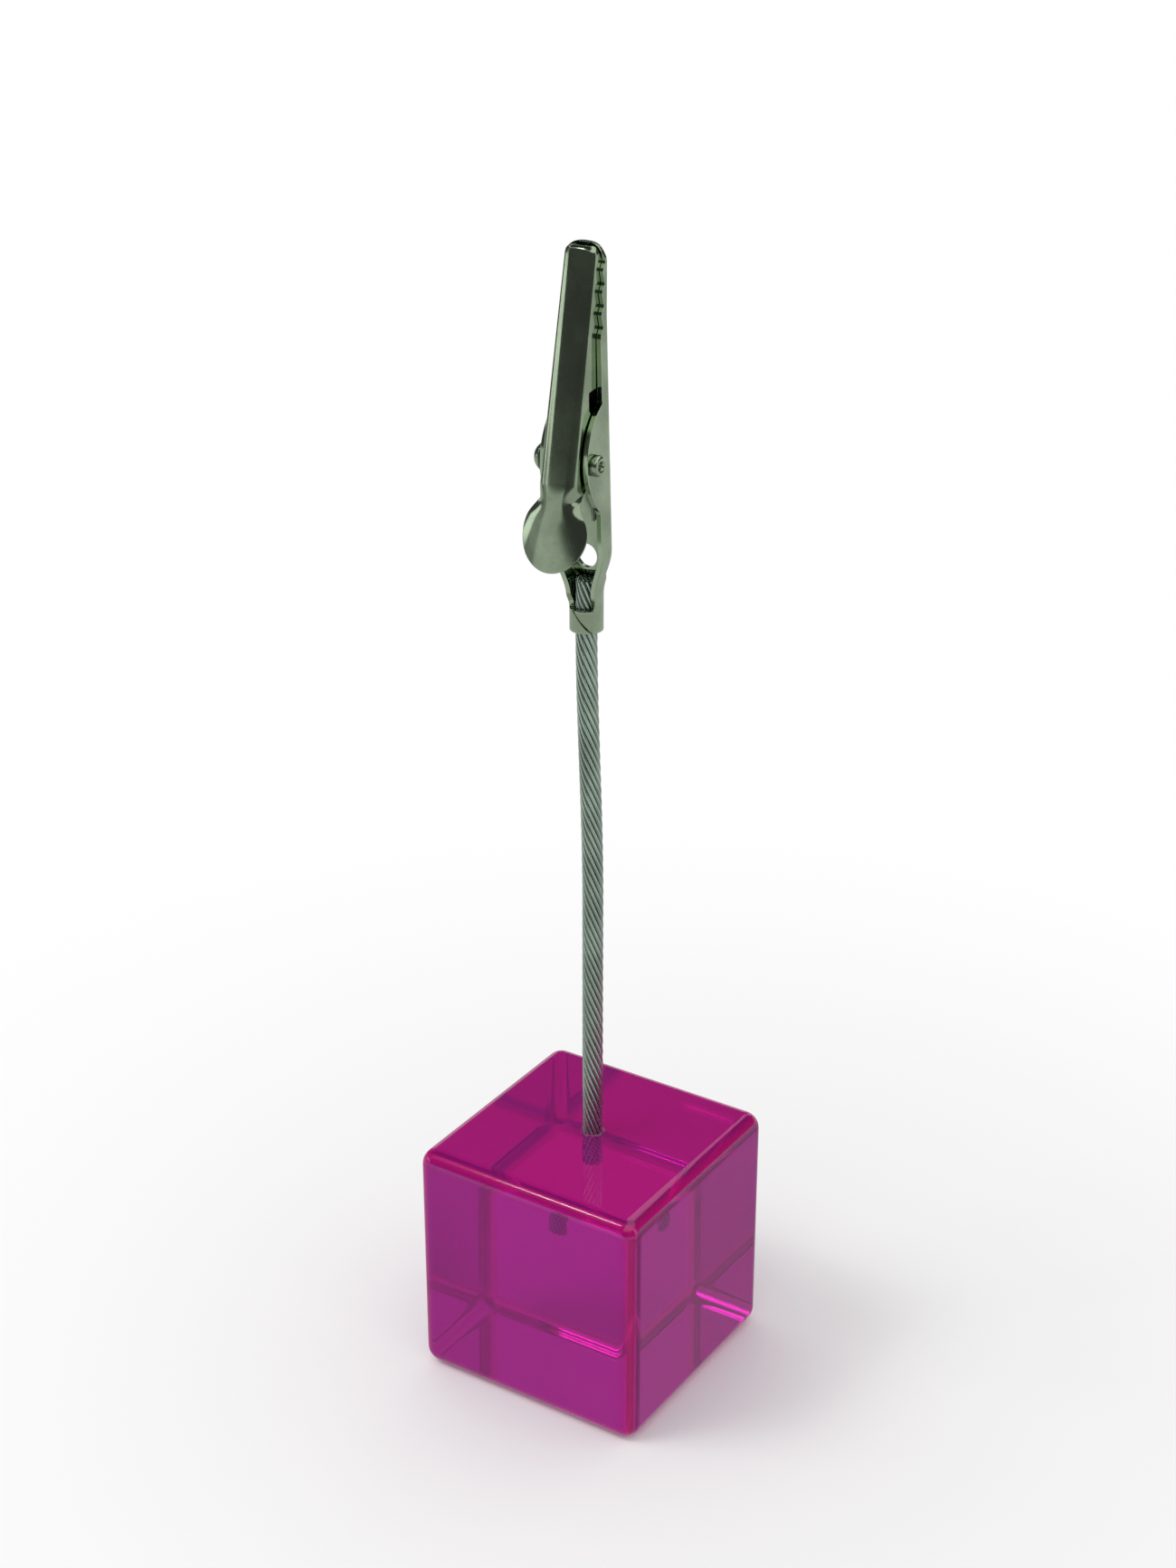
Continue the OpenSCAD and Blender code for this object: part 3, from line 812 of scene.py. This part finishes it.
PADDLE_HALF, PADDLE_DROP = 3.35, 3.4
PADDLE_CURVE, NECK_CURVE = 9.0, 3.4
PADDLE_MID = PADDLE_JOIN_Z - PADDLE_DROP * cos(PADDLE_LEAN)
FLARE_TOP = 14.9
PADDLE_ROWS, MOVING_ROW = 14, 0.3
JAW_COLUMNS, WALL_COLUMN = 28, 16
JAW_HOLE_R, JAW_HOLE_PITCH = 0.8, 0.19


def moving_edge(z):
    """Depth of the moving jaw's free edge: flank below the pivot, lobe, window, then the seam."""
    line = [
        FLANK_LOW, FLANK_TOP, (LOBE_LOW, LOBE_Y), (LOBE_TOP, LOBE_Y), (WINDOW_LOW, WINDOW_Y),
        (WINDOW_TOP - WINDOW_SLOPE, WINDOW_Y), (WINDOW_TOP + WINDOW_SLOPE, SEAM_Y - JAW_GAP)]
    return along_profile(line + [(height, y - JAW_GAP) for height, y in seam_points()[1:]], z)


def paddle_y(x, z):
    """Depth of the thumb paddle's outer face."""
    bottom = PADDLE_MID - PADDLE_HALF
    curve = mix(PADDLE_CURVE, NECK_CURVE, ease((z - bottom) / (NECK_TOP - bottom)))
    sag = curve - sqrt(curve * curve - x * x)
    return PADDLE_JOIN_Y - (PADDLE_JOIN_Z - z) * tan(PADDLE_LEAN) + sag


def moving_point(column, z, disc, cap):
    """Where the press leaves a vertex of the moving jaw, in the clip's millimetres."""
    side = -1 if column < 0 else 1
    share = abs(column) / JAW_COLUMNS
    if disc:
        x = PADDLE_HALF * share * sqrt(1 - disc * disc / 2)
        z = PADDLE_MID - PADDLE_HALF * disc * sqrt(1 - share * share / 2) * cos(PADDLE_LEAN)
        return Vector((side * x, paddle_y(x, z), z))
    half = MOVING_HALF - MOVING_TAPER * (z - PIVOT_Z) - round_off(z, MOVING_TOP, MOVING_CORNER)
    edge = moving_edge(z)
    back = BACK_Y + BACK_SLOPE * (z - PIVOT_Z) + round_off(z, MOVING_TOP, MOVING_TIP_EDGE)
    plain = along_profile([PLAIN_LOW, PLAIN_TOP], z) if z > LOBE_LOW else edge
    fold = min(MOVING_FOLD - FOLD_TAPER * (z - PIVOT_Z), FOLD_OF_HALF * half)
    deep = min(FOLD_DEPTH * fold, FOLD_OF_WALL * max(plain - back, LEAST_WALL))
    low_edge = back + deep + LEAST_STRIP
    spot = Vector(channel_point(
        share, half, -back, fold, deep, edge=-max(edge, low_edge), plain_edge=-max(plain, low_edge)))
    spot.y = -spot.y
    if cap:
        spot = mix(spot, Vector((share * half, edge)), cap)
    paddle = ease((NECK_TOP - z) / (NECK_TOP - NECK_LOW))
    if paddle:
        flare = ease((FLARE_TOP - z) / (FLARE_TOP - PADDLE_MID))
        x = mix(MOVING_HALF, PADDLE_HALF, flare) * share
        spot = mix(spot, Vector((x, paddle_y(x, z))), paddle)
    return Vector((side * spot.x, spot.y, z))


def moving_rows():
    """(height, disc share, cap share) of each row of the moving jaw."""
    features = [PADDLE_MID, NECK_LOW, FLANK_TOP[0], FLARE_TOP, NECK_TOP] + PIVOT_ROWS
    features += [LOBE_TOP, WINDOW_LOW, WINDOW_TOP - WINDOW_SLOPE, WINDOW_TOP + WINDOW_SLOPE]
    features += [z for z, y in seam_points()[1:]]
    features += tip_rows(MOVING_TOP, MOVING_CORNER, MOVING_TIP_EDGE)
    disc = [(0, 1 - step / PADDLE_ROWS, 0) for step in range(PADDLE_ROWS)]
    rows = [(z, 0, 0) for z in row_heights(features, MOVING_ROW)]
    return disc + rows + [(MOVING_TOP, 0, (step + 1) / CAP_ROWS) for step in range(CAP_ROWS)]


class MEMO_OT_moving_jaw(bpy.types.Operator):
    """Front jaw of the clip, with its thumb paddle"""

    bl_idname = "memo.moving_jaw"
    bl_label = "Moving jaw"

    def execute(self, context):
        settings = context.scene.memo_clip
        rows = moving_rows()
        sheet = PressedSheet(2 * JAW_COLUMNS, len(rows) - 1)
        for (i, j), vert in sheet.at.items():
            vert.co = moving_point(i - JAW_COLUMNS, *rows[j])
        row = min(range(PADDLE_ROWS, len(rows)), key=lambda j: abs(rows[j][0] - PIVOT_Z))
        for side in (-1, 1):
            column = side * min(
                range(WALL_COLUMN, JAW_COLUMNS),
                key=lambda k: abs(moving_point(side * k, PIVOT_Z, 0, 0).y - PIVOT_Y))
            centre = Vector((side * MOVING_HALF, PIVOT_Y, PIVOT_Z))
            sheet.punch(
                JAW_COLUMNS + column, row, HOLE_RING, HOLE_REACH,
                centre=centre, radius=JAW_HOLE_R, pitch=JAW_HOLE_PITCH)
        finish = plate_finish("nickel_plate_jaw", settings)
        piece = add_piece("moving_jaw_pressing", sheet.trimmed(facing=-1), finish)
        finish_sheet(piece, settings)
        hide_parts("moving_jaw")
        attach(piece, "jaw")
        return {"FINISHED"}


# Rivet, in millimetres from the pivot along its axis, and its radii
HEAD_END, HEAD_SEAT, TAIL_SEAT, TAIL_END = -3.59, -2.541, 2.528, 3.178
HEAD_R, SHANK_R, TAIL_R, TAIL_BORE_R = 1.4, 0.75, 0.95, 0.35
HEAD_UNDERCUT, HEAD_ROUND, TAIL_ROUND, BORE_FLOOR = 0.02, 0.05, 0.04, 0.05
DOME_STEPS, ROLL_STEPS = 12, 8


def rivet_outline():
    """(place along the axis, radius) from the crown of the domed head to the floor of the tail's bore."""
    dome = HEAD_SEAT - HEAD_END
    dome_r = (HEAD_R * HEAD_R + dome ** 2) / (2 * dome)
    widest = asin(HEAD_R / dome_r)
    outline = []
    for step in range(DOME_STEPS + 1):
        angle = widest * step / DOME_STEPS
        outline.append((HEAD_END + dome_r * (1 - cos(angle)), dome_r * sin(angle)))
    under = HEAD_SEAT + HEAD_UNDERCUT
    outline += [(under, HEAD_R - HEAD_ROUND), (under, SHANK_R), (TAIL_SEAT, SHANK_R)]
    outline += [(TAIL_SEAT, TAIL_R - TAIL_ROUND), (TAIL_SEAT + TAIL_ROUND, TAIL_R)]
    roll = (TAIL_R - TAIL_BORE_R) / 2
    for step in range(ROLL_STEPS + 1):
        angle = pi * step / ROLL_STEPS
        outline.append((TAIL_END - roll + roll * sin(angle), TAIL_BORE_R + roll + roll * cos(angle)))
    return outline + [(TAIL_SEAT + BORE_FLOOR, TAIL_BORE_R), (TAIL_SEAT + BORE_FLOOR, 0)]


class MEMO_OT_pivot_rivet(bpy.types.Operator):
    """Rivet with a domed head on the left and a hollow clenched tail on the right"""

    bl_idname = "memo.pivot_rivet"
    bl_label = "Pivot rivet"

    def execute(self, context):
        profile = [PIVOT + Vector((x * MM, 0, r * MM)) for x, r in rivet_outline()]
        bm = turned_part(profile, (1, 0, 0), PIVOT)
        plate = context.scene.memo_clip.plate
        finish = metal_finish("rivet_plate", plate, rough=0.18, grain_scale=(900, 2600, 2600), painted_rim_highlight=False)
        piece = add_piece("pivot_rivet_turned", bm, finish)
        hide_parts("pivot_rivet")
        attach(piece, "clip")
        return {"FINISHED"}


# Spring: coil about the pivot, and the ends of its legs as (depth, height) in the clip's millimetres
SPRING_WIRE, SPRING_R, SPRING_PITCH = 0.32, 1.16, 0.74
SPRING_TURNS, SPRING_STEPS = 2, 90
FLOOR_LEG, PADDLE_LEG = (-0.21, 10.5), (-5.25, 10.5)


def leg_angles(leg):
    """Direction of a leg's end, the angle from it to where the leg leaves the coil, and its length."""
    reach = Vector((leg[0] - PIVOT_Y, leg[1] - PIVOT_Z))
    length = sqrt(reach.length ** 2 - SPRING_R ** 2)
    return atan2(reach.y, reach.x), acos(SPRING_R / reach.length), length


def only(kind, parts):
    """The vertices or the edges among a bmesh operator's parts."""
    return [part for part in parts if isinstance(part, kind)]


class MEMO_OT_torsion_spring(bpy.types.Operator):
    """Spring wound round the rivet, one leg on the tail's floor and one behind the paddle"""

    bl_idname = "memo.torsion_spring"
    bl_label = "Torsion spring"

    def execute(self, context):
        floor_at, floor_touch, floor_length = leg_angles(FLOOR_LEG)
        paddle_at, paddle_touch, paddle_length = leg_angles(PADDLE_LEG)
        start = floor_at + floor_touch
        sweep = 2 * pi * (1 + SPRING_TURNS) + paddle_at - paddle_touch - start
        width = SPRING_PITCH * MM * sweep / (2 * pi)
        outward = Vector((0, cos(start), sin(start)))
        tangent = Vector((0, -sin(start), cos(start)))
        first = PIVOT + Vector((width / 2, 0, 0)) + outward * SPRING_R * MM
        bm = bmesh.new()
        bmesh.ops.create_circle(
            bm, cap_ends=False, segments=WIRE_SIDES, radius=SPRING_WIRE / 2 * MM,
            matrix=Matrix.Translation(first) @ tangent.to_track_quat("Z", "X").to_matrix().to_4x4())
        loop = bm.verts[:] + bm.edges[:]
        spun = bmesh.ops.spin(
            bm, geom=loop, cent=PIVOT, axis=(1, 0, 0), angle=sweep, dvec=(-width / SPRING_STEPS, 0, 0),
            steps=SPRING_STEPS, use_merge=False)
        end = start + sweep
        end_tangent = Vector((0, -sin(end), cos(end)))
        legs = [(loop, -tangent * floor_length * MM), (spun["geom_last"], end_tangent * paddle_length * MM)]
        for ring, reach in legs:
            drawn = bmesh.ops.extrude_edge_only(bm, edges=only(bmesh.types.BMEdge, ring))["geom"]
            bmesh.ops.translate(bm, vec=reach, verts=only(bmesh.types.BMVert, drawn))
        close_ends(bm)
        spring = context.scene.memo_clip.spring
        finish = metal_finish("spring_wire", spring, rough=0.26, grain_scale=(4000, 900, 900), painted_rim_highlight=False)
        piece = add_piece("jaw_spring", bm, finish)
        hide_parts("torsion_spring")
        across = Vector((width / 2, 0, 0))
        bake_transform(piece)
        return {"FINISHED"}


# Camera solved from the photograph's cube, and the studio round the object, in metres
CAMERA_AT = (0.11947, -0.18548, 0.16591)
CAMERA_TURN = (radians(64.945), 0, radians(32.905))
CAMERA_LENS = 60.346
CAMERA_SENSOR = 36
FLOOR_RADIUS, FLOOR_DROP = 4.0, 0.00005
SHADOW_FROM, SHADOW_TO = 0.035, 0.13
GLOW_FROM, GLOW_TO, GLOW_STRENGTH = 0.0112, 0.0128, 1.2
WHITE = (1, 1, 1, 1)
LAMP_AIM = Vector((0, 0, 0.06))
KEY_OFFSET, KEY_SIZE = Vector((-0.29, -0.25, 0.46)), 0.26
EDGE_OFFSET, EDGE_SIZE, EDGE_OF_KEY = Vector((-0.275, -0.25, 0.46)), 0.05, 0.11
MAT_Z = -0.00003
CARD_STEPS, FULL_TURN = 32, 360

# Swept cards: name, two edges as (reach, height), start and sweep in degrees from the front, brightness
SWEPT_CARDS = (
    ("near_mat", (0.001, MAT_Z), (0.1, MAT_Z), 0, FULL_TURN, 0.36),
    ("floor_mat", (0.1, MAT_Z), (3.9, MAT_Z), 0, FULL_TURN, 0.62),
    ("side_strip", (0.3, 0.06), (0.3, 0.11), -84, 16, 1.4),
    ("front_strip", (0.3, 0.084), (0.3, 0.13), -68, 22, 1.4),
    ("left_shade", (0.49, 0.002), (0.49, 0.42), -66, 16, 0.3),
    ("left_ceiling", (2.0, 1.6), (0.001, 1.6), -150, 150, 0.05),
    ("back_curtain", (0.5, 0.1), (0.5, 0.5), 105, 75, 0.07),
    ("left_curtain", (0.5, 0.002), (0.5, 0.42), -126, 60, 0.08),
    ("front_curtain", (0.5, 0.086), (0.5, 0.42), -58, 62, 0.07),
    ("right_curtain", (0.5, 0.035), (0.5, 0.42), 4, 82, 0.07),
)


def card_object(name, bm, level):
    """Stage object of one even brightness that only reflections see."""
    sheet = NodeSheet(bpy.data.materials.new(name))
    light = sheet.add("ShaderNodeEmission", {}, {"Color": (level, level, level, 1), "Strength": 1})
    sheet.add("ShaderNodeOutputMaterial", {}, {"Surface": light})
    card = mesh_object(name, bm, sheet.owner)
    card.visible_camera = False
    card.visible_diffuse = False
    card.visible_transmission = False
    card.visible_shadow = False


def flat_card(name, centre, aim, width, height, level):
    """Rectangular card that faces the point it is aimed at."""
    bm = bmesh.new()
    bmesh.ops.create_grid(bm, x_segments=1, y_segments=1, size=0.5)
    bmesh.ops.scale(bm, vec=(width, height, 1), verts=bm.verts)
    turn = (Vector(aim) - Vector(centre)).to_track_quat("Z", "Y").to_matrix().to_4x4()
    bmesh.ops.transform(bm, matrix=Matrix.Translation(centre) @ turn, verts=bm.verts)
    card_object(name, bm, level)


def swept_card(name, inner, outer, start, sweep, level):
    """Card between two (reach, height) points, swept round the object from and by so many degrees."""
    bm = bmesh.new()
    aside, ahead = sin(radians(start)), -cos(radians(start))
    ends = [bm.verts.new((reach * aside, reach * ahead, height)) for reach, height in (inner, outer)]
    bm.edges.new(ends)
    bmesh.ops.spin(
        bm, geom=bm.verts[:] + bm.edges[:], cent=(0, 0, 0), axis=(0, 0, 1), angle=radians(sweep),
        steps=CARD_STEPS, use_merge=sweep == FULL_TURN)
    card_object(name, bm, level)


def area_lamp(name, offset, size, power):
    """Soft square lamp that is aimed at the object."""
    data = bpy.data.lights.new(name, "AREA")
    data.size = size
    data.energy = power
    lamp = bpy.data.objects.new(name, data)
    lamp.location = LAMP_AIM + offset
    lamp.rotation_euler = (LAMP_AIM - lamp.location).to_track_quat("-Z", "Y").to_euler()
    bpy.context.scene.collection.objects.link(lamp)
    return lamp


def seen_directly(sheet):
    """1 for the rays that show the background: to the camera, in gloss and through glass."""
    rays = [
        sheet.add("ShaderNodeLightPath", {}, {}, output)
        for output in ("Is Camera Ray", "Is Glossy Ray", "Is Transmission Ray")]
    return rays[0] | rays[1] | rays[2]


def floor_finish(settings):
    """Pale floor that turns white away from the object, and glows under the cube as seen through it."""
    sheet = NodeSheet(bpy.data.materials.new("pale_floor"))
    distance = sheet.add("ShaderNodeVectorMath", {"operation": "LENGTH"}, {0: sheet.place()}, "Value")
    far = sheet.between(distance, SHADOW_FROM, SHADOW_TO) * seen_directly(sheet)
    through = sheet.add("ShaderNodeLightPath", {}, {}, "Is Transmission Ray")
    reach = sheet.add("ShaderNodeVectorMath", {"operation": "ABSOLUTE"}, {0: sheet.place()})
    aside = [sheet.add("ShaderNodeSeparateXYZ", {}, {0: reach}, axis) for axis in "XY"]
    under = sheet.between(aside[0] | aside[1], GLOW_TO, GLOW_FROM) * through
    near_floor = sheet.add("ShaderNodeBsdfDiffuse", {}, {"Color": shade(settings.floor)})
    far_floor = sheet.add("ShaderNodeEmission", {}, {"Color": WHITE, "Strength": 1})
    glow = sheet.add("ShaderNodeEmission", {}, {"Color": shade(settings.glow), "Strength": GLOW_STRENGTH})
    surface = sheet.add("ShaderNodeMixShader", {}, {0: far, 1: near_floor, 2: far_floor})
    surface = sheet.add("ShaderNodeMixShader", {}, {0: under, 1: surface, 2: glow})
    sheet.add("ShaderNodeOutputMaterial", {}, {"Surface": surface})
    return sheet.owner


def white_surroundings(settings):
    """World that lights the object at the sky's strength, and is seen as plain white."""
    sheet = NodeSheet(bpy.data.worlds.new("white_surroundings"))
    level = settings.sky + seen_directly(sheet) * (1 - settings.sky)
    sky = sheet.add("ShaderNodeBackground", {}, {"Color": WHITE, "Strength": level})
    sheet.add("ShaderNodeOutputWorld", {}, {"Surface": sky})
    return sheet.owner


def photo_camera():
    """Camera at the photograph's place, with its angle of view."""
    data = bpy.data.cameras.new("photo_camera")
    data.sensor_width = CAMERA_SENSOR
    data.lens = CAMERA_LENS
    data.clip_start = 0.01
    camera = bpy.data.objects.new("photo_camera", data)
    camera.location = CAMERA_AT
    camera.rotation_euler = CAMERA_TURN
    bpy.context.scene.collection.objects.link(camera)
    return camera


class MEMO_OT_stage(bpy.types.Operator):
    """Pale floor, white surroundings, soft lamps, reflection cards and the camera"""

    bl_idname = "memo.stage"
    bl_label = "Stage"

    def execute(self, context):
        scene = context.scene
        settings = scene.memo_stage
        bm = bmesh.new()
        bmesh.ops.create_circle(
            bm, cap_ends=True, segments=96, radius=FLOOR_RADIUS,
            matrix=Matrix.Translation((0, 0, CUBE_LOW.z - FLOOR_DROP)))
        floor = mesh_object("floor", bm, floor_finish(settings))
        scene.world = white_surroundings(settings)
        soft = area_lamp("key_lamp", KEY_OFFSET, KEY_SIZE, settings.key)
        soft.visible_glossy = False
        area_lamp("edge_lamp", EDGE_OFFSET, EDGE_SIZE, settings.key * EDGE_OF_KEY)
        for card in SWEPT_CARDS:
            swept_card(*card)
        flat_card(
            "back_card", centre=(-0.26, 0.42, 0.26), aim=(0, 0, 0.03), width=0.45, height=0.3, level=0.1)
        scene.camera = photo_camera()
        scene.view_settings.view_transform = "Standard"
        return {"FINISHED"}


OPERATORS = (
    MEMO_OT_stage, MEMO_OT_acrylic_cube, MEMO_OT_glue_ring, MEMO_OT_stem_strand, MEMO_OT_fixed_jaw,
    MEMO_OT_moving_jaw, MEMO_OT_pivot_rivet, MEMO_OT_torsion_spring)
SETTINGS = {
    "memo_cube": CubeSettings, "memo_stem": StemSettings, "memo_clip": ClipSettings,
    "memo_stage": StageSettings}


class MEMO_PT_panel(bpy.types.Panel):
    """Lists the settings and the pieces to build"""

    bl_idname = "MEMO_PT_panel"
    bl_label = "Memo clip"
    bl_space_type = "VIEW_3D"
    bl_region_type = "UI"
    bl_category = "Memo clip"

    def draw(self, context):
        for name, group in SETTINGS.items():
            box = self.layout.box()
            for key in group.__annotations__:
                box.prop(getattr(context.scene, name), key)
        for operator in OPERATORS:
            self.layout.operator(operator.bl_idname)


def register():
    for group in (*SETTINGS.values(), *OPERATORS, MEMO_PT_panel):
        bpy.utils.register_class(group)
    for name, group in SETTINGS.items():
        setattr(bpy.types.Scene, name, PointerProperty(type=group))


def unregister():
    for name in SETTINGS:
        delattr(bpy.types.Scene, name)
    for group in reversed((*SETTINGS.values(), *OPERATORS, MEMO_PT_panel)):
        bpy.utils.unregister_class(group)


def main():
    register()
    bpy.ops.memo.stage()
    bpy.ops.memo.acrylic_cube()
    bpy.ops.memo.glue_ring()
    bpy.ops.memo.stem_strand()
    bpy.ops.memo.fixed_jaw()
    bpy.ops.memo.moving_jaw()
    bpy.ops.memo.pivot_rivet()
    bpy.ops.memo.torsion_spring()


if __name__ == "__main__":
    main()
